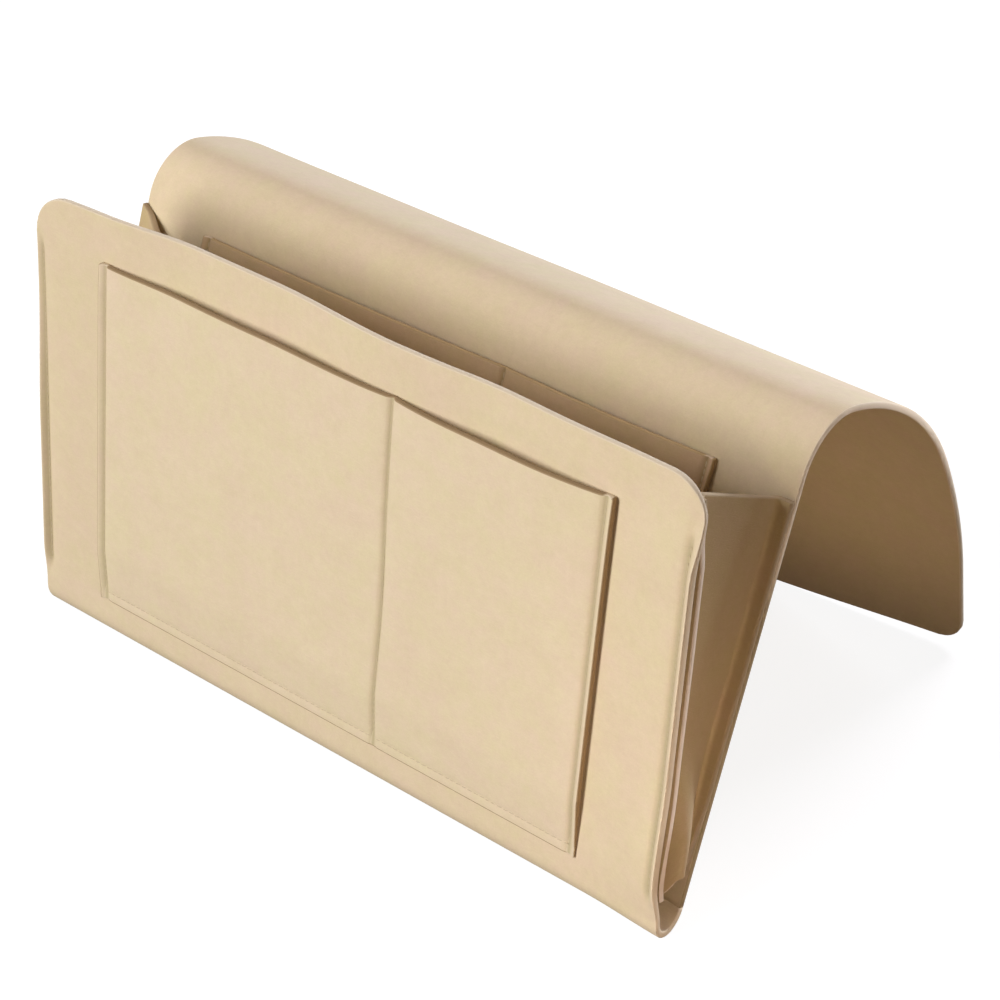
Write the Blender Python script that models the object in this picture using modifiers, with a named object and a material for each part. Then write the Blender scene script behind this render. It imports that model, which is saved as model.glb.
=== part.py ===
# Bedside organizer cut and sewn from stiff 3 mm felt. One long strip makes the front wall, the
# rolled bottom, the back wall and the arched flap that goes over a bed rail. A patch pocket is sewn
# on the front wall and another on the back wall, and a gusset closes each end of the caddy.
# +X runs along the organizer, +Y points towards the bed, +Z is up. All lengths are in metres.

import math

import bmesh
import bpy
from mathutils import Vector

# Felt
felt_thickness = 0.003
sheet_width = 0.360
seam_gap = 0.0003
crease_gap = 0.0003

# Front wall, measured along the felt from the end of the rolled bottom
front_wall_height = 0.203
front_wall_lean = math.radians(6.0)
front_corner_radius = 0.018

# Rolled bottom
fold_inner_radius = 0.0085
wall_spread = math.radians(14.75)

# Back wall, arch and flap
back_wall_height = 0.187
crown_inner_radius = 0.0242
crown_turn = math.radians(86.25)
drape_inner_radius = 0.1263
drape_turn = math.radians(47.2)
flap_inner_radius = 0.3036
flap_turn = math.radians(15.6)
flap_corner_radius = 0.013

# Patch pockets, sewn down both sides, along the foot and along a divider. Their margins are
# measured to the edges of the wall that carries them, and the divider from the wall's middle.
outer_side_margin = 0.041
outer_foot_margin = 0.010
outer_mouth_margin = 0.021
outer_divider_place = 0.027
inner_side_margin = 0.039
inner_foot_margin = 0.009
inner_mouth_margin = 0.006
inner_divider_place = 0.034
mouth_bow = 0.0026

# Gussets, each a strip with a sewn flange along both walls. The web lies deep at the mouth and
# comes out almost to the edge at its foot.
gusset_recess = 0.0075
gusset_foot_recess = 0.0045
gusset_bend_radius = 0.0035
gusset_foot_margin = 0.010
gusset_front_top_margin = 0.009
gusset_back_top_margin = 0.009
web_deepening_share = 0.4

# Facets
steps_in_fold = 14
steps_in_crown = 12
steps_in_drape = 14
steps_in_flap_bend = 6
steps_in_corner = 8
steps_in_gusset_bend = 4
columns_in_compartment = 8
rows_in_pocket = 7
rows_in_gusset = 12

# Colours
felt_face_colour = (0.71, 0.58, 0.40, 1.0)
felt_pocket_colour = (0.73, 0.60, 0.42, 1.0)
felt_gusset_colour = (0.66, 0.53, 0.36, 1.0)
felt_roughness = 0.95


# Directions in the side view

def direction(heading):
    """A unit step in the YZ plane, at an angle measured up from +Y."""
    return Vector((0, math.cos(heading), math.sin(heading)))


quarter_turn = math.radians(90.0)
front_heading = quarter_turn - front_wall_lean
back_heading = front_heading - wall_spread
half_felt = felt_thickness / 2
fold_radius = fold_inner_radius + half_felt
fold_centre = Vector((0, 0, fold_inner_radius + felt_thickness))
front_into_caddy = direction(front_heading - quarter_turn)
back_into_caddy = direction(back_heading + quarter_turn)
front_foot = fold_centre - front_into_caddy * fold_radius
back_foot = fold_centre - back_into_caddy * fold_radius


# Paths that the middle of the felt follows in the side view

def bend(path, heading, radius, turn, steps):
    """Carries a path on round a downward bend, and gives the heading that it leaves with."""
    centre = path[-1] + direction(heading - quarter_turn) * radius
    for step in range(1, steps + 1):
        path.append(centre + direction(heading + quarter_turn - turn * step / steps) * radius)
    return heading - turn


def fold_path():
    """The rolled bottom, from the front wall round to the back wall."""
    first = front_heading + quarter_turn
    last = back_heading + 3 * quarter_turn
    spread = [first + (last - first) * step / steps_in_fold for step in range(steps_in_fold + 1)]
    return [fold_centre + direction(angle) * fold_radius for angle in spread]


def wall_path(foot, heading, height):
    """A flat wall that stands on the rolled bottom."""
    start = foot + direction(heading) * crease_gap
    return [start, start + direction(heading) * (height - crease_gap)]


def arch_path():
    """The tight crown over the back wall and the wider drape after it."""
    path = [back_foot + direction(back_heading) * (back_wall_height + crease_gap)]
    heading = bend(path, back_heading, crown_inner_radius + half_felt, crown_turn, steps_in_crown)
    bend(path, heading, drape_inner_radius + half_felt, drape_turn, steps_in_drape)
    return path


def tongue_path():
    """The free end of the flap, down to the surface that the rolled bottom stands on."""
    heading = back_heading - crown_turn - drape_turn
    path = [arch_path()[-1] + direction(heading) * crease_gap]
    heading = bend(path, heading, flap_inner_radius + half_felt, flap_turn, steps_in_flap_bend)
    edge_above_floor = half_felt * abs(math.cos(heading))
    drop = path[-1].z - edge_above_floor
    path.append(path[-1] + direction(heading) * (drop / abs(math.sin(heading))))
    return path


def middle_of(path):
    """The centre of a path's length."""
    spans = [(a, b, (b - a).length) for a, b in zip(path, path[1:])]
    total = sum(length for a, b, length in spans)
    return sum(((a + b) * (length / 2) for a, b, length in spans), Vector()) / total


# The model's origin is under the middle of its depth, on the floor

def centre_of_depth():
    """How far behind the fold's centre the middle of the whole depth lies."""
    pocket_face = fold_radius + half_felt + seam_gap + felt_thickness
    foremost = front_into_caddy * -pocket_face + direction(front_heading) * outer_foot_margin
    rearmost = tongue_path()[-1].y + half_felt * abs(front_into_flap().y)
    return (foremost.y + rearmost) / 2


def front_into_flap():
    """The normal of the flap's straight end, towards the back wall."""
    return direction(back_heading - crown_turn - drape_turn - flap_turn - quarter_turn)


model_origin = Vector((0, centre_of_depth(), 0))


# Objects

def felt(name, colour):
    """A matt felt material in the piece's own colour."""
    material = bpy.data.materials.new(name + "_felt")
    material.use_nodes = True
    surface = material.node_tree.nodes["Principled BSDF"]
    surface.inputs["Base Color"].default_value = colour
    surface.inputs["Roughness"].default_value = felt_roughness
    surface.inputs["Metallic"].default_value = 0
    material.diffuse_color = colour
    return material


def axis_empty(name, place):
    """An empty on a joint's axis, or at the model's own origin."""
    empty = bpy.data.objects.new(name, None)
    empty.location = place - model_origin
    pieces.objects.link(empty)
    return empty


def felt_piece(name, form, holder, holder_place, colour):
    """Gives a sheet the felt's thickness, and hangs it on the empty that carries it."""
    bmesh.ops.translate(form, verts=form.verts, vec=-holder_place)
    mesh = bpy.data.meshes.new(name)
    form.to_mesh(mesh)
    form.free()
    mesh.materials.append(felt(name, colour))
    piece = bpy.data.objects.new(name, mesh)
    piece.parent = holder
    pieces.objects.link(piece)
    thicken = piece.modifiers.new("Felt thickness", "SOLIDIFY")
    thicken.thickness = felt_thickness
    thicken.offset = 0
    thicken.use_even_offset = True
    return piece


def strip(path):
    """A sheet as wide as the organizer that follows a path in the side view."""
    form = bmesh.new()
    across = Vector((sheet_width, 0, 0))
    points = [form.verts.new(place - across / 2) for place in path]
    edges = [form.edges.new(pair) for pair in zip(points, points[1:])]
    swept = bmesh.ops.extrude_edge_only(form, edges=edges)["geom"]
    moved = [part for part in swept if isinstance(part, bmesh.types.BMVert)]
    bmesh.ops.translate(form, verts=moved, vec=across)
    return form


def round_corners(form, place, radius):
    """Rounds the two corners of a strip that lie at one end of its path."""
    corners = [point for point in form.verts if (point.co - place).yz.length < seam_gap]
    bmesh.ops.bevel(form, geom=corners, offset=radius, offset_type="OFFSET",
                    segments=steps_in_corner, profile=0.5, affect="VERTICES", material=-1)


def grid(columns, rows, place):
    """A sheet whose points are set by a function of their column and row."""
    form = bmesh.new()
    lines = [[form.verts.new(place(column, row)) for column in range(columns + 1)]
             for row in range(rows + 1)]
    for low, high in zip(lines, lines[1:]):
        for left, right, over_left, over_right in zip(low, low[1:], high, high[1:]):
            form.faces.new((left, right, over_right, over_left))
    return form


# Pockets

def pocket_form(foot, heading, outward, wall_height, margins, divider):
    """A patch of two compartments: flat along its seams, bowed away from the wall at its mouths."""
    side_margin, foot_margin, mouth_margin = margins
    side_place = sheet_width / 2 - side_margin
    height = wall_height - foot_margin - mouth_margin
    compartments = ((-side_place, divider), (divider, side_place))
    sewn_face = foot + outward * (felt_thickness + seam_gap)

    def place(column, row):
        side = min(column // columns_in_compartment, 1)
        near, far = compartments[side]
        across = column / columns_in_compartment - side
        up = row / rows_in_pocket
        swell = mouth_bow * math.sin(math.pi * across) * up * up
        return (Vector((near + (far - near) * across, 0, 0)) + sewn_face
                + direction(heading) * (foot_margin + height * up) + outward * swell)

    return grid(2 * columns_in_compartment, rows_in_pocket, place)


# Gussets

def gusset_plan(gap, recess):
    """A gusset from above: how far in from the sheet's edge, and how far across the caddy."""
    plan = [(0, 0)]
    inner = recess - gusset_bend_radius
    for step in range(steps_in_gusset_bend + 1):
        angle = quarter_turn * step / steps_in_gusset_bend
        plan.append((inner + gusset_bend_radius * math.sin(angle),
                     gusset_bend_radius * (1 - math.cos(angle))))
    plan.append((recess, gap / 2))
    return plan + [(inset, gap - across) for inset, across in reversed(plan[:-1])]


def corner_retreat(height):
    """How far the front wall's rounded corner draws in from its side at a height up the wall."""
    above = max(0, height - (front_wall_height - front_corner_radius))
    return front_corner_radius - math.sqrt(front_corner_radius ** 2 - above ** 2)


def gusset_form(side):
    """The gusset of one end, side -1 at the left and 1 at the right."""
    sewn_depth = felt_thickness + seam_gap
    front_height = front_wall_height - gusset_foot_margin - gusset_front_top_margin
    back_height = back_wall_height - gusset_foot_margin - gusset_back_top_margin
    columns = len(gusset_plan(sheet_width, gusset_recess)) - 1

    def place(column, row):
        up = row / rows_in_gusset
        deepening = math.sin(quarter_turn * min(up / web_deepening_share, 1))
        recess = gusset_foot_recess + (gusset_recess - gusset_foot_recess) * deepening
        front_up = gusset_foot_margin + front_height * up
        back_up = gusset_foot_margin + back_height * up
        front = front_foot + front_into_caddy * sewn_depth + direction(front_heading) * front_up
        back = back_foot + back_into_caddy * sewn_depth + direction(back_heading) * back_up
        inset, across = gusset_plan((back - front).length, recess)[column]
        if column == 0:
            inset = corner_retreat(front_up)
        return (Vector((side * (sheet_width / 2 - inset), 0, 0))
                + front + (back - front).normalized() * across)

    return grid(columns, rows_in_gusset, place)


# Assembly

def build():
    origin = axis_empty("organizer", model_origin)
    fold_axis_place = front_foot + front_into_caddy * half_felt
    fold_axis = axis_empty("front_fold_axis", fold_axis_place)
    flex_axis_place = middle_of(arch_path())
    flex_axis = axis_empty("flap_flex_axis", flex_axis_place)

    front_path = wall_path(front_foot, front_heading, front_wall_height)
    front_form = strip(front_path)
    round_corners(front_form, front_path[-1], front_corner_radius)
    felt_piece("front_panel", front_form, fold_axis, fold_axis_place, felt_face_colour)
    outer_margins = (outer_side_margin, outer_foot_margin, outer_mouth_margin)
    outer_form = pocket_form(front_foot, front_heading, -front_into_caddy, front_wall_height,
                             outer_margins, outer_divider_place)
    felt_piece("outer_pocket", outer_form, fold_axis, fold_axis_place, felt_pocket_colour)

    felt_piece("bottom_fold", strip(fold_path()), origin, model_origin, felt_face_colour)
    back_path = wall_path(back_foot, back_heading, back_wall_height)
    felt_piece("back_wall", strip(back_path), origin, model_origin, felt_face_colour)
    felt_piece("arch", strip(arch_path()), origin, model_origin, felt_face_colour)
    inner_margins = (inner_side_margin, inner_foot_margin, inner_mouth_margin)
    inner_form = pocket_form(back_foot, back_heading, back_into_caddy, back_wall_height,
                             inner_margins, inner_divider_place)
    felt_piece("inner_pocket", inner_form, origin, model_origin, felt_pocket_colour)
    felt_piece("left_gusset", gusset_form(-1), origin, model_origin, felt_gusset_colour)
    felt_piece("right_gusset", gusset_form(1), origin, model_origin, felt_gusset_colour)

    flap_path = tongue_path()
    tongue_form = strip(flap_path)
    round_corners(tongue_form, flap_path[-1], flap_corner_radius)
    felt_piece("tongue", tongue_form, flex_axis, flex_axis_place, felt_face_colour)

    print("front fold axis", fold_axis_place - model_origin)
    print("flap flex axis", flex_axis_place - model_origin)


for existing in list(bpy.data.objects):
    bpy.data.objects.remove(existing)
pieces = bpy.data.collections.new("bedside_organizer")
bpy.context.scene.collection.children.link(pieces)
build()
bpy.context.view_layer.update()
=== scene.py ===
# Bedside organizer of stiff 3 mm felt, standing like a tent on its rolled bottom and on the edge of
# its flap. The sections follow its making: the long strip, the two patch pockets, the gussets, the
# sewing, and then the studio. Everything is in metres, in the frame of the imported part.

import math

import bmesh
import bpy
from mathutils import Matrix, Vector, noise


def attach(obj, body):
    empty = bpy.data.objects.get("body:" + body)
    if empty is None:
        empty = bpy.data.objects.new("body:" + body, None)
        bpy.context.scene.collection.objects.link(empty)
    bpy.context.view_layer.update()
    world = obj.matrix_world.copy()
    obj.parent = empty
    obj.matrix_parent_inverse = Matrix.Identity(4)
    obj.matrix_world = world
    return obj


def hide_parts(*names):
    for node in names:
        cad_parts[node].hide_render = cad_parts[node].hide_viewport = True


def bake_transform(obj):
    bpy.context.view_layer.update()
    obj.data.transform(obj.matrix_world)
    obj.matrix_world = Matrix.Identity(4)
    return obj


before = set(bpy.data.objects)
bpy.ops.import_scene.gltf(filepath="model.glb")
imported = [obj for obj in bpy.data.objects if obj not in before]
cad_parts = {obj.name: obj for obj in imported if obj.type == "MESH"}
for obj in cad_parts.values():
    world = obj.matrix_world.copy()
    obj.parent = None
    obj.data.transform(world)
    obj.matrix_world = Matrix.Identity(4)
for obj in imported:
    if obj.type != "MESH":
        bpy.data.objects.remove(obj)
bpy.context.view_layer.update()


# Front wall and rolled bottom
# One end of a long strip of pressed felt, laser cut with two rounded corners. It is rolled under
# itself at the foot and stands on that roll. The gussets' seams pull a valley along both sides.

felt_thickness = 0.003
half_felt = felt_thickness / 2
seam_gap = 0.0002
cut_edge_softness = 0.0005
face_depth = 0.00002
rounded_corner_depth = 0.00030
sheet_width = 0.360
side_place = sheet_width / 2
quarter_turn = math.radians(90)
front_heading = math.radians(84.0)
back_heading = math.radians(69.25)
fold_centre = Vector((0, -0.10398, 0.0115))
fold_radius = 0.010
fold_turn = math.radians(165.25)
fold_length = fold_radius * fold_turn
front_wall_height = 0.203
left_corner_radius = 0.020
right_corner_radius = 0.0165

felt_grid = 0.004
roll_grid = 0.0016
beside_seam = (-0.0028, -0.0016, -0.0007, 0, 0.0007, 0.0016, 0.0028)
seam_clearance = 0.004
edge_clearance = 0.0018
edge_line_inset = 0.0011


def direction(heading):
    """A unit step in the side view, at an angle measured up from +Y."""
    return Vector((0, math.cos(heading), math.sin(heading)))


into_caddy = direction(front_heading - quarter_turn)
out_of_caddy = direction(back_heading - quarter_turn)
front_foot = fold_centre - into_caddy * fold_radius
back_foot = fold_centre + out_of_caddy * fold_radius
roll_start = fold_centre - direction(back_heading + quarter_turn) * fold_radius


def ease(value, start, end):
    """Rises smoothly from 0 at the start to 1 at the end."""
    share = min(max((value - start) / (end - start), 0), 1)
    return share * share * (3 - 2 * share)


def hump(value, centre, reach):
    """A smooth rise around a centre."""
    return math.exp(-((value - centre) / reach) ** 2)


def follow(place, heading, bends, along):
    """Where the middle of a bent strip is, and its heading, at a distance along it."""
    for length, turn in bends:
        run = min(along, length)
        if turn:
            radius = length / turn
            centre = place + direction(heading - quarter_turn) * radius
            heading -= turn * run / length
            place = centre + direction(heading + quarter_turn) * radius
        else:
            place = place + direction(heading) * run
        along -= run
        if along <= 0:
            break
    return place, heading


def grid_lines(start, end, step, seams=(), edges=()):
    """Grid lines a step apart, with closer ones beside each seam and inside each cut edge."""
    count = round((end - start) / step)
    lines = [start + (end - start) * line / count for line in range(1, count)]
    lines = [line for line in lines if all(abs(line - seam) > seam_clearance for seam in seams)]
    lines += [seam + offset for seam in seams for offset in beside_seam]
    lines = [line for line in lines if all(abs(line - edge) > edge_clearance for edge in edges)]
    lines += [edge + (edge_line_inset if edge == start else -edge_line_inset) for edge in edges]
    return sorted(lines + [start, end])


def lay_flat(lines_across, lines_along):
    """A flat sheet on a grid of lines."""
    form = bmesh.new()
    columns = len(lines_across) - 1
    rows = len(lines_along) - 1
    bmesh.ops.create_grid(form, x_segments=columns, y_segments=rows, size=1)
    for point in form.verts:
        point.co.x = lines_across[round((point.co.x + 1) / 2 * columns)]
        point.co.y = lines_along[round((point.co.y + 1) / 2 * rows)]
    return form


def round_corners(form, half_width, end, left_radius, right_radius):
    """Draws the two corners at the sheet's end in to arcs."""
    for point in form.verts:
        radius = left_radius if point.co.x < 0 else right_radius
        across = (abs(point.co.x) - half_width + radius) / radius
        along = (point.co.y - end + radius) / radius
        if across > 0 and along > 0:
            drawn = radius * max(across, along) / math.hypot(across, along)
            point.co.x = math.copysign(half_width - radius + drawn * across, point.co.x)
            point.co.y = end - radius + drawn * along


def thicken(form, roll_place, cut_shade_at, joined_at=None, press=lambda across, along: 0):
    """Gives a flat sheet the felt's thickness and softly cut edges, but no edge where it is joined
    to its neighbour. It notes where on the roll of felt each point was cut, so that the fibres
    follow the sheet when it is bent, how far a point is on a cut edge, with 1 on the cut itself and
    2 along its two rounded corners, where the colour is partly a painted highlight, how much painted
    shade darkens the cut there, and how much painted shade darkens the felt along a seam, from how
    hard the seam presses it."""
    shell = bmesh.ops.extrude_face_region(form, geom=form.faces[:])["geom"]
    risen = [part for part in shell if isinstance(part, bmesh.types.BMVert)]
    bmesh.ops.translate(form, verts=risen, vec=(0, 0, felt_thickness))
    bmesh.ops.translate(form, verts=form.verts, vec=(0, 0, -half_felt))
    bmesh.ops.recalc_face_normals(form, faces=form.faces)
    rim = [edge for edge in form.edges if edge.calc_face_angle(0) > 1
           and not all(point.co.y == joined_at for point in edge.verts)]
    bmesh.ops.bevel(form, geom=rim, offset=cut_edge_softness, segments=2, profile=0.5,
                    affect="EDGES", material=-1)
    cut_place = form.verts.layers.float_vector.new("cut_place")
    cut_edge = form.verts.layers.float.new("cut_edge")
    cut_shade = form.verts.layers.float.new("cut_shade")
    seam_shade = form.verts.layers.float.new("seam_shade")
    for point in form.verts:
        depth = half_felt - abs(point.co.z)
        point[cut_place] = point.co + Vector(roll_place)
        point[cut_shade] = cut_shade_at(point.co.x, point.co.y)
        point[seam_shade] = press(point.co.x, point.co.y)
        point[cut_edge] = 0 if depth < face_depth else 2 if depth < rounded_corner_depth else 1


def bend_to(form, place):
    """Carries every point of a flat sheet to its place on the organizer."""
    for point in form.verts:
        point.co = place(point.co.x, point.co.y, point.co.z)


def add_piece(name, form, finish):
    """Makes a smooth-shaded piece of a finished form."""
    mesh = bpy.data.meshes.new(name)
    form.to_mesh(mesh)
    form.free()
    mesh.shade_smooth()
    mesh.materials.append(finish)
    piece = bpy.data.objects.new(name, mesh)
    bpy.context.scene.collection.objects.link(piece)
    return piece


class Value:
    """One output of a node. A sum on it adds a Math node."""

    def __init__(self, finish, socket):
        self.finish = finish
        self.socket = socket

    def sum(self, operation, first, second):
        return self.finish.node("ShaderNodeMath", {"operation": operation}, {0: first, 1: second})

    def __add__(self, other):
        return self.sum("ADD", self, other)

    def __sub__(self, other):
        return self.sum("SUBTRACT", self, other)

    def __rsub__(self, other):
        return self.sum("SUBTRACT", other, self)

    def __mul__(self, other):
        return self.sum("MULTIPLY", self, other)

    __radd__ = __add__
    __rmul__ = __mul__


class Finish:
    """A material. Its node method adds a node, with its settings first and then its inputs, and feed
    gives a socket a value or links it."""

    def __init__(self, name):
        self.material = bpy.data.materials.new(name)
        self.material.use_nodes = True
        self.tree = self.material.node_tree
        self.surface = self.tree.nodes["Principled BSDF"]

    def node(self, kind, settings=None, inputs=None, output=0):
        added = self.tree.nodes.new(kind)
        for setting, value in (settings or {}).items():
            setattr(added, setting, value)
        for socket, value in (inputs or {}).items():
            self.feed(added.inputs[socket], value)
        return Value(self, added.outputs[output])

    def feed(self, socket, value):
        if isinstance(value, Value):
            self.tree.links.new(value.socket, socket)
        else:
            socket.default_value = value


fibre_grain = (260, 2100, 900)
fibre_lays = ((0.35, 0.1), (1.45, 0.7), (2.6, 1.3))
fuzz_relief = 0.00035


def felt_finish(name, colour, cut, shaded_cut, fuzz_highlight):
    """Pressed felt: rosy and straw-coloured blotches where the wools lie unevenly, short fibres that
    cross in all directions, painted shade along each seam's valley, a paler cut edge, partly its own
    shade and partly a painted highlight, that painted shade darkens in places, and loose fibres on
    its corners, whose colour is partly a painted highlight."""
    finish = Finish(name)
    place = finish.node("ShaderNodeAttribute", {"attribute_name": "cut_place"}, output="Vector")
    edge = finish.node("ShaderNodeAttribute", {"attribute_name": "cut_edge"}, output="Fac")
    cut_shade = finish.node("ShaderNodeAttribute", {"attribute_name": "cut_shade"}, output="Fac")
    seam_shade = finish.node("ShaderNodeAttribute", {"attribute_name": "seam_shade"}, output="Fac")

    def cloud(scale, detail, inputs=None):
        return finish.node("ShaderNodeTexNoise", {"noise_dimensions": "3D"},
                           {"Vector": place, "Scale": scale, "Detail": detail, **(inputs or {})})

    def fibres(turn, seed):
        laid = finish.node("ShaderNodeMapping", {"vector_type": "POINT"},
                           {"Vector": place, "Location": (seed, seed, seed), "Rotation": (0, 0, turn),
                            "Scale": fibre_grain})
        wave = finish.node("ShaderNodeTexNoise", {"noise_dimensions": "3D"},
                           {"Vector": laid, "Scale": 1, "Detail": 1, "Distortion": 1.2})
        return finish.node("ShaderNodeMapRange", {"interpolation_type": "SMOOTHSTEP"},
                           {"Value": wave, "From Min": 0.54, "From Max": 0.72})

    def blend_colours(factor, first, second):
        return finish.node("ShaderNodeMix", {"data_type": "RGBA"},
                           {"Factor": factor, "A": first, "B": second}, output=2)

    def shaded(red, green, blue):
        return (colour[0] * red, colour[1] * green, colour[2] * blue, 1)

    rosy, straw = shaded(1.03, 0.96, 1.05), shaded(0.985, 1.03, 0.90)
    dim, bright = shaded(0.86, 0.83, 0.79), shaded(1.14, 1.17, 1.21)
    wools = cloud(34, 4, {"Roughness": 0.85})
    hue = finish.node("ShaderNodeMapRange", {}, {"Value": wools, "From Min": 0.36, "From Max": 0.64})
    blotches = cloud(48, 4, {"Roughness": 0.8})
    matting = cloud(330, 3, {"Roughness": 0.7})
    grain = cloud(1300, 2)
    first_lay, second_lay, third_lay = [fibres(turn, seed) for turn, seed in fibre_lays]
    crossing = first_lay + second_lay + third_lay
    tone = (blotches - 0.5) * 0.50 + (matting - 0.5) * 0.50 + (grain - 0.5) * 0.40 + crossing * 0.07
    shade = finish.node("ShaderNodeMapRange", {}, {"Value": tone, "From Min": -0.30, "From Max": 0.30})
    face = blend_colours(0.5, blend_colours(hue, rosy, straw), blend_colours(shade, dim, bright))
    # Painted shade: the felt is darkened along each seam's valley, where its groove lies in shade.
    face = blend_colours(seam_shade * seam_shade * 0.75, face, shaded(0.60, 0.60, 0.48))
    on_cut = finish.node("ShaderNodeMath", {"operation": "MINIMUM"}, {0: edge, 1: 1})
    # Loose fibres on the cut's rounded corners; their colour is partly their own and partly a painted
    # highlight.
    fuzz_highlight_share = (edge - on_cut) * (0.45 + matting * 0.5) * (1 - cut_shade * 0.8)
    # Painted shade: the cut is darkened towards a shaded cut colour where the attribute asks for it.
    sliced = blend_colours(cut_shade, cut, shaded_cut)
    coloured = blend_colours(fuzz_highlight_share, blend_colours(on_cut, face, sliced), fuzz_highlight)
    relief = matting * 0.45 + grain * 0.35 + crossing * 0.14
    finish.feed(finish.surface.inputs["Base Color"], coloured)
    finish.feed(finish.surface.inputs["Roughness"], 0.88 + grain * 0.12)
    finish.feed(finish.surface.inputs["Normal"],
                finish.node("ShaderNodeBump", {},
                            {"Strength": 0.40, "Distance": fuzz_relief, "Height": relief}))
    finish.surface.inputs["Specular IOR Level"].default_value = 0.10
    finish.surface.inputs["Sheen Weight"].default_value = 0.18
    finish.surface.inputs["Sheen Roughness"].default_value = 0.60
    finish.surface.inputs["Sheen Tint"].default_value = (1.0, 0.93, 0.82, 1)
    return finish.material


# The pale cut colour is partly the felt's own and partly a painted highlight; the second cut colour is
# painted shade, and the corner colour partly a painted highlight.
sheet_felt = felt_finish("sheet_felt", colour=(0.700, 0.575, 0.392), cut=(0.88, 0.76, 0.58, 1),
                         shaded_cut=(0.42, 0.33, 0.19, 1), fuzz_highlight=(0.72, 0.60, 0.44, 1))

left_seam_inset = 0.0029
right_seam_inset = 0.0040
gusset_seam_depth = 0.0015
gusset_seam_reach = 0.0018
gusset_foot_margin = 0.010
side_seam_top = 0.179
seam_end_margin = 0.003
seam_start_fade = 0.006
front_seam_fade = 0.005
gusset_seam_start = (gusset_foot_margin - seam_end_margin, gusset_foot_margin + seam_start_fade)
front_seam_end = (side_seam_top - seam_end_margin, side_seam_top + front_seam_fade)


def gusset_seam(side):
    """How far from the middle the gusset's seams run at one side."""
    return side_place - (right_seam_inset if side > 0 else left_seam_inset)


def gusset_press(across, up, seam_end):
    """How hard the gussets' seams press a wall's felt together, from 0 to 1."""
    sewn = ease(up, *gusset_seam_start)
    sewn *= 1 - ease(up, *seam_end)
    return sewn * hump(abs(across) - gusset_seam(across), 0, gusset_seam_reach)


def front_press(across, along):
    """The same for the front wall, from the flat strip."""
    return gusset_press(across, along - fold_length, front_seam_end)


right_end = (0.140, 0.184)
mouth_draw = 0.0009
mouth_dip = 0.0050
dip_start = (-0.140, -0.090)
dip_end = (-0.044, 0.026)
mouth_dent = 0.0020
dent_spot = (0.077, 0.026)
left_bulge = 0.0018
bulge_spot = (-0.172, 0.022)
mouth_fade = 2.5
foot_push = 0.0054
foot_push_start = (-0.010, 0.020)
push_easing = 0.0020
push_easing_run = (0.025, 0.070)
top_easing = 0.0024
top_easing_run = (0.160, 0.190)
ripple_height = 0.0005
ripple_scale = 14
ripple_seed = 2.1


def right_end_share(across):
    """How much a point shares in what happens at the right end, which has been pushed forward."""
    return ease(across, *right_end)


def front_swell(across, up):
    """How far the front wall stands out of its own plane, away from the caddy."""
    rise = min(max(up / front_wall_height, 0), 1)
    mouth = mouth_draw + mouth_dip * (ease(across, *dip_start) - ease(across, *dip_end))
    mouth += mouth_dent * hump(across, *dent_spot) - left_bulge * hump(across, *bulge_spot)
    pushed = foot_push * ease(up, *foot_push_start) - push_easing * ease(up, *push_easing_run)
    pushed -= top_easing * ease(up, *top_easing_run)
    spot = Vector((across * ripple_scale, up * ripple_scale, ripple_seed))
    ripple = ripple_height * noise.noise(spot)
    return pushed * right_end_share(across) + (ripple - mouth) * rise ** mouth_fade


back_draw_depth = 0.0052
back_draw_height = 0.26


def back_draw(across, up):
    """How far the back wall's right end leans in, towards the front."""
    return back_draw_depth * max(1 - up / back_draw_height, 0) * right_end_share(across)


right_flare = 0.0024
right_flare_end = (0.166, 0.190)
left_flare = 0.0021
left_flare_end = (0.090, 0.160)
flare_start = (0.004, 0.024)
flare_overlap = 0.0015
edge_overrun = 0.001
inner_flare_share = 0.3
right_corner_thinning = 0.0012
thinning_start = 0.172
thinning_run = (0.165, 0.178)


def front_flare(across, up):
    """How far the front wall's margin outside the gussets' seams is sprung away from them."""
    if across > 0:
        sprung = right_flare * (1 - ease(up, *right_flare_end))
    else:
        sprung = left_flare * (1 - ease(up, *left_flare_end))
    sprung *= ease(up, *flare_start)
    return sprung * ease(abs(across), gusset_seam(across) - flare_overlap, side_place + edge_overrun)


def front_sheet_place(across, along, height):
    """From the flat strip, measured from the roll's back end, to the front of the organizer."""
    up = along - fold_length
    outer_share = (height + half_felt) / felt_thickness
    thinned = right_corner_thinning * ease(across, thinning_start, side_place) * ease(up, *thinning_run)
    height -= (gusset_seam_depth * front_press(across, along) + thinned) * outer_share
    height += front_flare(across, up) * (inner_flare_share + (1 - inner_flare_share) * outer_share)
    place, heading = follow(roll_start, back_heading + 2 * quarter_turn,
                            ((fold_length, fold_turn), (front_wall_height, 0)), along)
    if up > 0:
        height += front_swell(across, up)
    else:
        along_roll = ease(along, 0, fold_length)
        place += direction(front_heading + quarter_turn) * front_swell(across, 0) * along_roll
        place -= out_of_caddy * back_draw(across, 0) * (1 - along_roll)
    return Vector((across, 0, 0)) + place + direction(heading + quarter_turn) * height


# Painted shade on the front wall's cuts: a little along its sides, more at the mouth.
wall_cut_shade = 0.12
wall_cut_shade_start = (0, 0.030)
mouth_cut_shade = 0.22
mouth_cut_shade_start = (0.190, 0.2025)


def front_cut_shade(across, along):
    """Painted shade darkens the mouth's cut more than the wall's two long cuts."""
    up = along - fold_length
    return wall_cut_shade * ease(up, *wall_cut_shade_start) + mouth_cut_shade * ease(up, *mouth_cut_shade_start)


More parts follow.
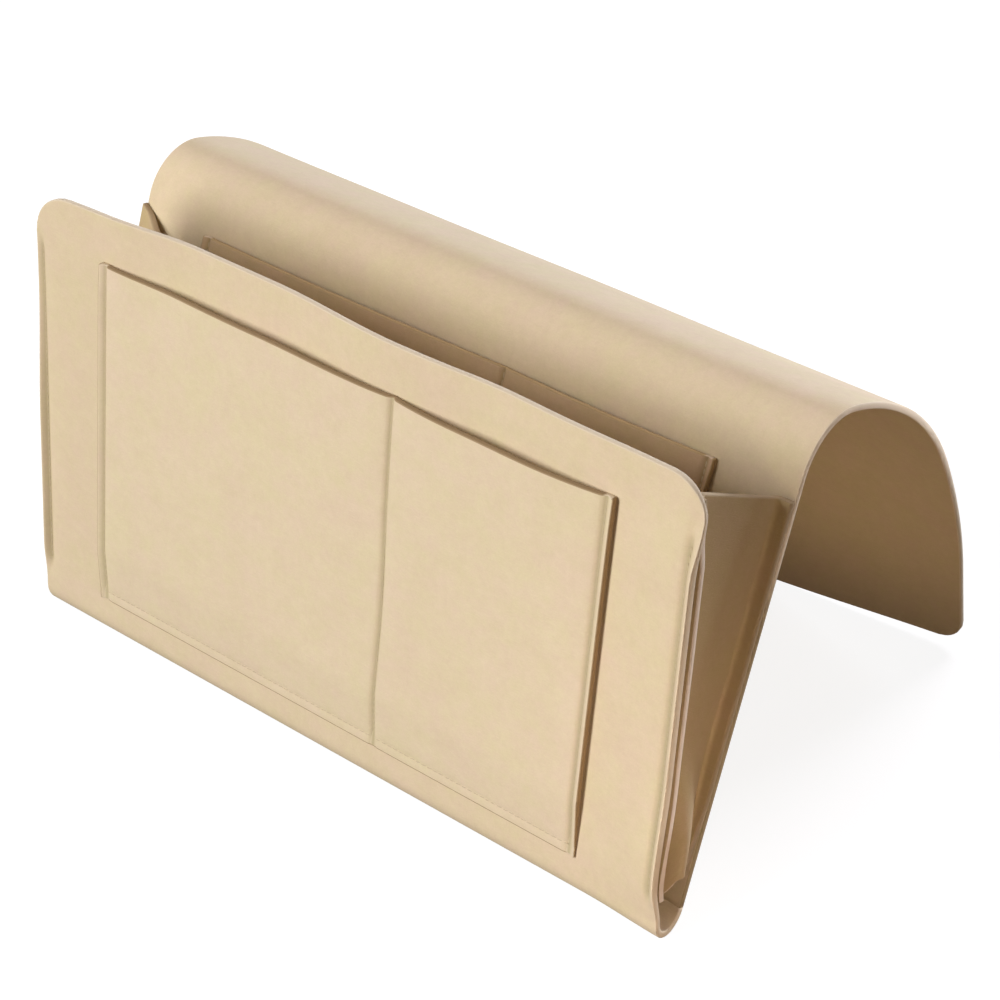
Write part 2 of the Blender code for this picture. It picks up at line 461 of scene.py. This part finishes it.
front_length = fold_length + front_wall_height
form = lay_flat(grid_lines(-side_place, side_place, felt_grid, (-gusset_seam(-1), gusset_seam(1)),
                           (-side_place, side_place)),
                grid_lines(0, fold_length, roll_grid)[:-1]
                + grid_lines(fold_length, front_length, felt_grid, edges=(front_length,)))
round_corners(form, side_place, front_length, left_corner_radius, right_corner_radius)
thicken(form, (0, 0, 0), front_cut_shade, joined_at=0, press=front_press)
bend_to(form, front_sheet_place)
front_sheet = add_piece("front_sheet", form, sheet_felt)
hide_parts("front_panel", "bottom_fold")
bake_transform(front_sheet)


# Back wall, arch and flap
# The rest of the same strip. It rises as the back wall, turns over the bed rail in a tight crown, and
# comes down in a long easy drape to the flap's edge, whose two corners are rounded.

back_wall_height = 0.187
crown_turn = math.radians(86.25)
crown_length = 0.0257 * crown_turn
drape_turn = math.radians(47.2)
drape_length = 0.1278 * drape_turn
easy_turn = math.radians(15.6)
easy_length = 0.3051 * easy_turn
straight_length = 0.0537
back_bends = ((back_wall_height, 0), (crown_length, crown_turn), (drape_length, drape_turn),
              (easy_length, easy_turn), (straight_length, 0))
back_length = back_wall_height + crown_length + drape_length + easy_length + straight_length
flap_start = back_wall_height + crown_length + drape_length
flap_corner_radius = 0.013
wall_grid = 0.0045
crown_grid = 0.0024

gusset_back_top_margin = 0.009
back_seam_fade = 0.004
back_seam_end = (back_wall_height - gusset_back_top_margin - back_seam_fade,
                 back_wall_height - gusset_back_top_margin + back_seam_fade)
flap_ripple = 0.0006
flap_ripple_scale = 9
flap_ripple_seed = 5.7
flap_ripple_start = (0.19, 0.26)
flap_curl = Vector((-0.007, 0.010, 0.0055))
curl_strength = 1.45
curl_across = (0.020, 0.230)
curl_overrun = 0.03
# Painted shade darkens the back wall's cuts below about this height.
cut_shade_until = (0.125, 0.155)


def back_press(across, along):
    """How hard the gussets' seams press the back wall's felt together, from 0 to 1."""
    return gusset_press(across, along, back_seam_end)


def back_sheet_place(across, along, height):
    """From the flat strip, measured from its joint with the roll, to the back of the organizer."""
    rear_share = (half_felt - height) / felt_thickness
    height += gusset_seam_depth * back_press(across, along) * rear_share
    height += back_draw(across, along)
    spot = Vector((across * flap_ripple_scale, along * flap_ripple_scale, flap_ripple_seed))
    height += flap_ripple * noise.noise(spot) * ease(along, *flap_ripple_start)
    place, heading = follow(roll_start, back_heading, back_bends, along)
    curled = ease(across, *curl_across) * curl_strength
    curled *= ease(along, flap_start, back_length + curl_overrun)
    return (Vector((across, 0, 0)) + place + direction(heading + quarter_turn) * height
            + flap_curl * curled)


def back_cut_shade(across, along):
    """Painted shade darkens the cuts of the lower half of the back wall most."""
    return 1 - ease(along, *cut_shade_until)


form = lay_flat(grid_lines(-side_place, side_place, felt_grid, (-gusset_seam(-1), gusset_seam(1)),
                           (-side_place, side_place)),
                grid_lines(0, back_wall_height, wall_grid)[:-1]
                + grid_lines(back_wall_height, flap_start, crown_grid)[:-1]
                + grid_lines(flap_start, back_length, wall_grid, edges=(back_length,)))
round_corners(form, side_place, back_length, flap_corner_radius, flap_corner_radius)
thicken(form, (0, 0.4, 0), back_cut_shade, joined_at=0, press=back_press)
bend_to(form, back_sheet_place)
back_sheet = add_piece("back_sheet", form, sheet_felt)
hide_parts("back_wall", "arch", "tongue")
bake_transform(back_sheet)


# Outer patch pocket
# A rectangle of the same felt, sewn on the front wall down both sides, along its foot and along a
# divider, just inside its edges. It was sewn a little askew, its foot is skived thin, and its two
# mouths gape a little between the seams.

# Painted shade: the second cut colour darkens most of the patches' cuts; the corner colour is partly a
# painted highlight.
patch_felt = felt_finish("patch_felt", colour=(0.722, 0.602, 0.418), cut=(0.69, 0.564, 0.41, 1),
                         shaded_cut=(0.34, 0.23, 0.12, 1), fuzz_highlight=(0.74, 0.62, 0.46, 1))
patch_seam_inset = 0.0034
patch_foot_inset = 0.005
patch_seam_depth = 0.0013
patch_seam_reach = 0.0014
foot_seam_press = 0.2
patch_margin = 0.001
mouth_end_height = 0.012
gape_fullness = 0.8
gape_rise = 2.6
outer_patch_half_width = 0.1395
outer_patch_height = 0.172
outer_patch_foot = 0.010
outer_patch_skew = 0.022
skew_pivot = 0.130
outer_patch_skive = 0.028
skive_depth = 0.0027
outer_mouth_gape = 0.0044
outer_side_curl = 0.0004
divider_foot = 0.0285
divider_wander = 0.0015
wander_spot = (0.075, 0.040)
wander_reach = 0.030


def patch_press(across, up, half_width, divider):
    """How hard a patch's seams press its felt together, from 0 to 1."""
    return max(hump(abs(across) - half_width + patch_seam_inset, 0, patch_seam_reach),
               hump(across - divider, 0, patch_seam_reach),
               foot_seam_press * hump(up - patch_foot_inset, 0, patch_seam_reach))


def patch_lift(across, up, half_width, patch_height, divider, gape, curl):
    """How far a patch stands off the wall: curled up along its sides, and bowed out at its mouths."""
    side_seam = half_width - patch_seam_inset
    near, far = (-side_seam, divider) if across < divider else (divider, side_seam)
    share = min(max((across - near) / (far - near), 0), 1)
    rise = min(max(up / patch_height, 0), 1)
    curled = ease(abs(across), side_seam - patch_margin, half_width + patch_margin)
    curled *= 1 - ease(up, patch_height - mouth_end_height, patch_height)
    return gape * math.sin(math.pi * share) ** gape_fullness * rise ** gape_rise + curl * curled


def patch_cut_shade(half_width):
    """Painted shade darkens a patch's cuts, except at the mouth's two ends, outside the side seams."""
    side_seam = half_width - patch_seam_inset
    ends = (side_seam - patch_margin, half_width - patch_margin)
    return lambda across, up: 0 if ends[0] < abs(across) < ends[1] else 1


def lay_patch(half_width, patch_height, divider):
    """A patch's flat felt, with closer grid lines along its seams and edges."""
    side_seam = half_width - patch_seam_inset
    return lay_flat(grid_lines(-half_width, half_width, felt_grid, (-side_seam, divider, side_seam),
                               (-half_width, half_width)),
                    grid_lines(0, patch_height, felt_grid, (patch_foot_inset,), (0, patch_height)))


def outer_divider(up):
    """The outer divider's place, which the machine let wander a little."""
    return divider_foot + divider_wander * hump(up, *wander_spot)


def outer_press(across, up):
    """How hard the outer patch's seams press it."""
    return patch_press(across, up, outer_patch_half_width, outer_divider(up))


def outer_patch_place(across, up, height):
    """From the flat patch to the front wall's face."""
    lift = patch_lift(across, up, outer_patch_half_width, outer_patch_height, outer_divider(up),
                      outer_mouth_gape, outer_side_curl)
    pull = patch_seam_depth * outer_press(across, up)
    pull += skive_depth * max(1 - up / outer_patch_skive, 0)
    pull *= (height + half_felt) / felt_thickness
    across += outer_patch_skew * (up - skew_pivot)
    wall_up = outer_patch_foot + up
    out = felt_thickness + seam_gap + height - pull + lift + front_swell(across, wall_up)
    return (Vector((across, 0, 0)) + front_foot + direction(front_heading) * wall_up
            + direction(front_heading + quarter_turn) * out)


form = lay_patch(outer_patch_half_width, outer_patch_height, outer_divider(0))
for point in form.verts:
    beside = abs(point.co.x - outer_divider(0)) / wander_reach
    point.co.x += (outer_divider(point.co.y) - outer_divider(0)) * max(1 - beside, 0)
thicken(form, (0.5, 0, 0), patch_cut_shade(outer_patch_half_width), press=outer_press)
bend_to(form, outer_patch_place)
outer_patch = add_piece("outer_patch", form, patch_felt)
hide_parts("outer_pocket")
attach(outer_patch, "front")


# Inner patch pocket
# A second patch of the same cut, sewn inside the caddy on the back wall. Only its mouths show over
# the front wall.

# A darker copy of the felt, painted shade for the inner patch, which lies in shade inside the caddy.
shaded_inner_felt = felt_finish("shaded_inner_felt", colour=(0.600, 0.435, 0.270), cut=(0.66, 0.52, 0.36, 1),
                         shaded_cut=(0.46, 0.32, 0.15, 1), fuzz_highlight=(0.70, 0.56, 0.42, 1))
inner_patch_half_width = 0.141
inner_patch_height = 0.172
inner_patch_foot = 0.009
inner_divider = 0.034
inner_mouth_gape = 0.0030
inner_side_curl = 0.0010


def inner_press(across, up):
    """How hard the inner patch's seams press it."""
    return patch_press(across, up, inner_patch_half_width, inner_divider)


def inner_patch_place(across, up, height):
    """From the flat patch to the back wall's face."""
    lift = patch_lift(across, up, inner_patch_half_width, inner_patch_height, inner_divider,
                      inner_mouth_gape, inner_side_curl)
    pull = patch_seam_depth * inner_press(across, up) * (height + half_felt) / felt_thickness
    wall_up = inner_patch_foot + up
    out = felt_thickness + seam_gap + height - pull + lift
    return (Vector((across, 0, 0)) + back_foot + direction(back_heading) * wall_up
            - out_of_caddy * out)


form = lay_patch(inner_patch_half_width, inner_patch_height, inner_divider)
thicken(form, (0.5, 0.4, 0), patch_cut_shade(inner_patch_half_width), press=inner_press)
bend_to(form, inner_patch_place)
inner_patch = add_piece("inner_patch", form, shaded_inner_felt)
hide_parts("inner_pocket")
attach(inner_patch, "back")


# Gussets
# A tapered strip of felt closes each end of the caddy. Both its long sides are turned out as flanges
# and sewn to the walls, flush with their edges, so the web between them lies a little inside. The
# right one is taut and bellies out at its foot. The left one has folded in as the walls closed.

# A darker copy of the felt, painted shade for the webs, which lie recessed in shade between the walls;
# the pale cut colour is a painted highlight on the flanges' cut edges.
gusset_felt = felt_finish("gusset_felt", colour=(0.510, 0.385, 0.215), cut=(0.90, 0.78, 0.66, 1),
                          shaded_cut=(0.42, 0.31, 0.18, 1), fuzz_highlight=(0.60, 0.47, 0.32, 1))
gusset_front_top_margin = 0.009
gusset_flange = 0.004
gusset_bend_radius = 0.0035
bend_length = gusset_bend_radius * quarter_turn
gusset_girth = 0.0754
gusset_length = front_wall_height - gusset_foot_margin - gusset_front_top_margin
gusset_back_length = back_wall_height - gusset_foot_margin - gusset_back_top_margin
gusset_taper = 0.60
girth_grid = 0.0014
gusset_grid = 0.0030
# The runs over which painted shade darkens the cuts along the back wall and at the top.
cut_shade_side = (gusset_girth - 0.006, gusset_girth - 0.002)
cut_shade_top = (gusset_length - 0.010, gusset_length)
lies_on_wall = felt_thickness + seam_gap

web_recess = 0.0045
web_recess_growth = 0.0030
web_recess_height = 0.074
corner_margin = 0.0008
corner_margin_run = 0.004
right_corner_margin = 0.0018
right_corner_run = (0.165, 0.180)
least_flange = 0.0006
flange_spring = 0.0012
spring_start = (0.010, 0.040)
spring_end = (0.150, 0.172)
foot_lift_height = 0.0105
foot_lift_across = (-0.05, 0.35)
foot_lift_end = (0, 0.05)
right_belly = 0.0075
belly_end = (0.012, 0.085)
belly_lean = 0.8
web_ripple = 0.0006
web_ripple_scale = (30, 16)
web_ripple_seed = 3.3
left_fold_in = 0.0115
left_fold_start = 0.09
left_fold_run = (0.01, 0.14)
fold_sharpness = 1.3
left_tuck = 0.011
left_tuck_run = (0.08, 0.17)
left_sag = 0.0120
left_sag_reach = 0.018
left_back_rise = 0.0058
left_back_spring = 0.0035
left_spring_edge = 0.003
left_spring_start = 0.12


def wall_corner_draw(side, up):
    """How far the front wall's corner has curved in from its side at a height."""
    radius = left_corner_radius if side < 0 else right_corner_radius
    over = min(max(0, up - (front_wall_height - radius)), radius)
    return radius - math.sqrt(radius ** 2 - over ** 2) + corner_margin * ease(over, 0, corner_margin_run)


def gusset_middle(side, girth, up):
    """The middle of a gusset's felt, from its place across and up the flat strip."""
    at_back = girth > gusset_girth / 2
    near = gusset_girth - girth if at_back else girth
    tuck = left_tuck * ease(up, *left_tuck_run) if side < 0 else 0
    back_flange = gusset_flange + tuck
    flange_felt = back_flange if at_back else gusset_flange

    # The heights at which the felt meets the two walls. The left one has sagged, but for the edge of
    # its back flange.
    sag = 0
    if side < 0:
        sag = left_sag * min((gusset_girth - girth) / left_sag_reach, 1)
        sag *= ease(up, left_fold_start, gusset_length)
    front_up = gusset_foot_margin + up - sag
    back_up = gusset_foot_margin + gusset_back_length * up / gusset_length - sag
    if side < 0:
        back_up += left_back_rise * ease(up, left_fold_start, gusset_length)

    # How far inside the walls' side edges the felt lies: flange, bend, and then the web.
    recess = web_recess + web_recess_growth * ease(up, 0, web_recess_height) + (tuck if at_back else 0)
    flange = recess - gusset_bend_radius
    cut_back = wall_corner_draw(side, front_up)
    cut_back += right_corner_margin * ease(front_up, *right_corner_run) * (side > 0)
    cut_back = 0 if at_back else min(cut_back, flange - least_flange)
    angle = min(max(near - flange_felt, 0) / bend_length, 1) * quarter_turn
    web_start = gusset_flange + bend_length
    web_end = gusset_girth - back_flange - bend_length
    share = min(max((girth - web_start) / (web_end - web_start), 0), 1)
    if near < flange_felt:
        inset = cut_back + (flange - cut_back) * near / flange_felt
    else:
        inset = flange + gusset_bend_radius * math.sin(angle)
    if 0 < share < 1:
        inset = recess + (tuck * share if not at_back else -tuck * (1 - share))
    away = gusset_bend_radius * (1 - math.cos(angle))
    if not at_back:
        sprung = flange_spring * ease(up, *spring_start) * (1 - ease(up, *spring_end))
        away += sprung * (1 - ease(near, 0, gusset_flange))
    elif side < 0:
        sprung = left_back_spring * ease(near, left_spring_edge, flange_felt)
        away += sprung * ease(up, left_spring_start, gusset_length)
    across = side * (side_place - inset)

    # The walls' faces there, and the felt on one of them or between them.
    front = (front_foot + direction(front_heading) * front_up + into_caddy * lies_on_wall
             - into_caddy * front_swell(across, front_up))
    back = (back_foot + direction(back_heading) * back_up - out_of_caddy * lies_on_wall
            - out_of_caddy * back_draw(across, back_up))
    if 0 < share < 1:
        front += into_caddy * gusset_bend_radius
        back -= out_of_caddy * gusset_bend_radius
        middle = front + (back - front) * share
    else:
        middle = back - out_of_caddy * away if at_back else front + into_caddy * away
    foot_lift = foot_lift_height * ease(share, *foot_lift_across) * (1 - ease(up, *foot_lift_end))
    if side < 0:
        across += left_fold_in * math.sin(math.pi * share) ** fold_sharpness * ease(up, *left_fold_run)
    else:
        belly = (1 - ease(up, *belly_end)) * math.sin(math.pi * share ** belly_lean)
        spot = Vector((girth * web_ripple_scale[0], up * web_ripple_scale[1], web_ripple_seed))
        across += right_belly * belly + web_ripple * noise.noise(spot)
    return Vector((across, 0, 0)) + middle + direction(front_heading) * foot_lift


def gusset_place(side):
    """How one gusset is carried from the flat strip to the organizer."""
    rising = (direction(front_heading) + direction(back_heading)).normalized()
    beside = 0.0003

    def place(girth, up, height):
        ahead = gusset_middle(side, girth + beside, up) - gusset_middle(side, girth - beside, up)
        outward = ahead.cross(rising).normalized() * side
        return gusset_middle(side, girth, up) + outward * height

    return place


def gusset_cut_shade(girth, up):
    """Painted shade darkens the cuts along the back wall and at the top."""
    return max(ease(girth, *cut_shade_side), ease(up, *cut_shade_top))


for name, side, roll_place in (("left_gusset", -1, (1.0, 0, 0)), ("right_gusset", 1, (1.0, 0.4, 0))):
    form = lay_flat(grid_lines(0, gusset_girth, girth_grid, (), (0, gusset_girth)),
                    grid_lines(0, gusset_length, gusset_grid, (), (0, gusset_length)))
    thicken(form, roll_place, gusset_cut_shade)
    cut_place = form.verts.layers.float_vector["cut_place"]
    for point in form.verts:
        narrowed = 1 - gusset_taper + gusset_taper * point.co.y / gusset_length
        point[cut_place].x = roll_place[0] + (point.co.x - gusset_girth / 2) * narrowed
    bend_to(form, gusset_place(side))
    bmesh.ops.recalc_face_normals(form, faces=form.faces)
    gusset = add_piece(name + "_web", form, gusset_felt)
    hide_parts(name)
    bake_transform(gusset)


# Sewing
# Every seam is a lockstitch in bonded polyester thread, three stitches to the centimetre, drawn down
# into the felt. Each stitch leans a little, as the twisted thread does.

stitch_pitch = 0.0032
stitch_length = 0.0027
stitch_lean = 0.10
thread_width = 0.00055
thread_flatness = 0.85
thread_rise = 0.00005
needle_step = 0.001
patch_seam_end_inset = 0.002
back_seam_rise = 0.006
divider_turns = (0.035, 0.070, 0.105)


def thread_finish():
    """Twisted polyester, a shade off the felt, with a faint gloss."""
    finish = Finish("thread")
    place = finish.node("ShaderNodeTexCoord", output="Object")
    twist = finish.node("ShaderNodeTexNoise", {"noise_dimensions": "3D"},
                        {"Vector": place, "Scale": 900, "Detail": 1})
    colour = finish.node("ShaderNodeMix", {"data_type": "RGBA"},
                         {"Factor": twist, "A": (0.50, 0.40, 0.26, 1), "B": (0.62, 0.51, 0.35, 1)},
                         output=2)
    finish.feed(finish.surface.inputs["Base Color"], colour)
    finish.feed(finish.surface.inputs["Roughness"], 0.5 + twist * 0.2)
    return finish.material


def one_stitch():
    """A single stitch along X, a thread's width thick and round at both ends."""
    form = bmesh.new()
    bmesh.ops.create_uvsphere(form, u_segments=6, v_segments=6, radius=0.5)
    bmesh.ops.rotate(form, verts=form.verts, matrix=Matrix.Rotation(quarter_turn, 3, "Y"))
    bmesh.ops.scale(form, verts=form.verts,
                    vec=(stitch_length, thread_width, thread_width * thread_flatness))
    bmesh.ops.rotate(form, verts=form.verts, matrix=Matrix.Rotation(stitch_lean, 3, "Z"))
    mesh = bpy.data.meshes.new("one_stitch")
    form.to_mesh(mesh)
    form.free()
    return mesh


thread = thread_finish()
stitch = one_stitch()


def sew(name, seams, place, face, body):
    """Rows of stitches along seams on one face of a sheet. A seam is its two ends on the flat
    sheet, and face is 1 for the sheet's outer face and -1 for its other one."""
    form = bmesh.new()
    lying = face * (half_felt + thread_rise)
    for start, end in seams:
        start = Vector(start)
        run = Vector(end) - start
        count = max(1, round(run.length / stitch_pitch))
        step = run.normalized() * needle_step
        for number in range(count):
            spot = start + run * (number + 0.5) / count
            centre = place(spot.x, spot.y, lying)
            ahead = place(spot.x + step.x, spot.y + step.y, lying) - centre
            outward = (centre - place(spot.x, spot.y, 0)).normalized()
            ahead = (ahead - outward * ahead.dot(outward)).normalized()
            turned = Matrix((ahead, outward.cross(ahead), outward)).transposed().to_4x4()
            laid = stitch.copy()
            laid.transform(Matrix.Translation(centre) @ turned)
            form.from_mesh(laid)
            bpy.data.meshes.remove(laid)
    stitches = add_piece(name, form, thread)
    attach(stitches, body)


def patch_seams(half_width, patch_height, divider):
    """The seams of a patch on its own flat. The divider is sewn in short straight runs."""
    side = half_width - patch_seam_inset
    foot = patch_foot_inset
    mouth = patch_height - patch_seam_end_inset
    marks = [(divider(up), up) for up in (foot, *divider_turns, mouth)]
    return [((-side, mouth), (-side, foot)), ((-side, foot), (side, foot)),
            ((side, foot), (side, mouth)), *zip(marks, marks[1:])]


def gusset_seams(bottom, top):
    """The two gussets' seams on a wall's flat."""
    return [((side * gusset_seam(side), bottom), (side * gusset_seam(side), top)) for side in (-1, 1)]


def on_wall(seams, patch_foot):
    """A patch's seams on the flat of the wall that it is sewn to."""
    return [[(across, patch_foot + up) for across, up in seam] for seam in seams]


outer_seams = patch_seams(outer_patch_half_width, outer_patch_height, outer_divider)
inner_seams = patch_seams(inner_patch_half_width, inner_patch_height, lambda up: inner_divider)
seam_bottom = gusset_foot_margin + seam_end_margin
back_seam_bottom = seam_bottom + back_seam_rise
back_seam_top = back_wall_height - gusset_back_top_margin - seam_end_margin
sew("outer_patch_stitches", outer_seams, outer_patch_place, 1, "front")
sew("inner_patch_stitches", inner_seams, inner_patch_place, 1, "back")
sew("front_gusset_stitches", gusset_seams(fold_length + seam_bottom, fold_length + side_seam_top),
    front_sheet_place, 1, "front")
sew("back_gusset_stitches", gusset_seams(back_seam_bottom, back_seam_top), back_sheet_place, -1, "back")
sew("front_wall_inner_stitches", on_wall(outer_seams, fold_length + outer_patch_foot),
    front_sheet_place, -1, "front")
sew("back_wall_rear_stitches", on_wall(inner_seams, inner_patch_foot), back_sheet_place, -1, "back")


# Studio
# A seamless floor of white paper, a tall softbox in front, two lights behind the arch, a faint warm
# fill from the right and three small glows at the right end. The camera stands to the right of the
# organizer and looks down on it.

floor_reach = 20
floor_glow = 0.86


def studio_floor():
    """A broad floor of white paper. It glows a little, and sends only a warm trace of light back."""
    form = bmesh.new()
    bmesh.ops.create_grid(form, x_segments=1, y_segments=1, size=floor_reach)
    paper = Finish("paper")
    seen = paper.node("ShaderNodeLightPath", output="Is Camera Ray")
    place = paper.node("ShaderNodeTexCoord", output="Object")
    tooth = paper.node("ShaderNodeTexNoise", {"noise_dimensions": "3D"},
                       {"Vector": place, "Scale": 60, "Detail": 2})
    paper.feed(paper.surface.inputs["Roughness"], 0.9 + tooth * 0.05)
    for socket, unseen_colour, seen_colour in (
            ("Base Color", (0.16, 0.115, 0.07, 1), (0.27, 0.28, 0.29, 1)),
            ("Emission Color", (0, 0, 0, 1), (1, 1, 1, 1))):
        paper.feed(paper.surface.inputs[socket],
                   paper.node("ShaderNodeMix", {"data_type": "RGBA"},
                              {"Factor": seen, "A": unseen_colour, "B": seen_colour}, output=2))
    paper.surface.inputs["Emission Strength"].default_value = floor_glow
    paper.surface.inputs["Specular IOR Level"].default_value = 0
    add_piece("floor", form, paper.material)


def soft_light(name, toward, aim, distance, size, power, colour, spread=180):
    """A softbox that faces a point from one direction, with its beam's angle in degrees."""
    lamp = bpy.data.lights.new(name, "AREA")
    lamp.shape = "RECTANGLE"
    lamp.size, lamp.size_y = size
    lamp.energy = power
    lamp.color = colour
    lamp.spread = math.radians(spread)
    light = bpy.data.objects.new(name, lamp)
    light.visible_camera = False
    toward = Vector(toward).normalized()
    light.location = Vector(aim) + toward * distance
    light.rotation_euler = toward.to_track_quat("Z", "Y").to_euler()
    bpy.context.scene.collection.objects.link(light)


studio_floor()
organizer = (0, 0, 0.10)
right_foot = (0.18, -0.10, 0.03)
under_arch = (0.12, 0.05, 0.20)
arch_cut = (0.18, 0.065, 0.190)
soft_light("tall_softbox", (-0.24, -0.75, 0.36), organizer, 5.0, (1.2, 3.4), 268, (1.0, 1.0, 1.0))
soft_light("high_back", (0.05, 0.55, 1.0), organizer, 4.0, (1.6, 1.6), 64, (1.0, 0.90, 0.97))
soft_light("low_back", (0.10, 0.99, 0.08), organizer, 4.0, (1.6, 0.4), 190, (0.78, 0.88, 1.0))
soft_light("right_fill", (0.90, -0.25, 0.30), organizer, 3.0, (1.5, 1.5), 6, (1.0, 0.80, 0.62))
soft_light("foot_glow", (0.80, -0.42, 0.32), right_foot, 0.18, (0.12, 0.03), 0.13, (1.0, 0.79, 0.65))
soft_light("arch_glow", (0.0, -0.2, -1.0), under_arch, 0.18, (0.14, 0.06), 0.028, (1.0, 0.735, 0.44))
soft_light("rim_glow", (0.95, 0.22, 0.20), arch_cut, 0.25, (0.06, 0.06), 0.020, (0.90, 0.90, 1.0), 40)
world = bpy.data.worlds.new("studio")
world.use_nodes = True
world.node_tree.nodes["Background"].inputs["Color"].default_value = (0.030, 0.021, 0.014, 1)
world.node_tree.nodes["Background"].inputs["Strength"].default_value = 1.0
bpy.context.scene.world = world
bpy.context.scene.view_settings.view_transform = "Standard"

camera_data = bpy.data.cameras.new("camera")
camera_data.lens = 98.3
camera_data.sensor_width = 36
camera = bpy.data.objects.new("camera", camera_data)
camera_place = (0.6477, -0.7664, 0.7814)
camera_right = Vector((0.7680, 0.6404, -0.0074))
camera_down = Vector((0.3631, -0.4448, -0.8188))
camera.matrix_world = Matrix.Translation(camera_place) @ Matrix(
    (camera_right, -camera_down, camera_right.cross(-camera_down))).transposed().to_4x4()
bpy.context.scene.collection.objects.link(camera)
bpy.context.scene.camera = camera
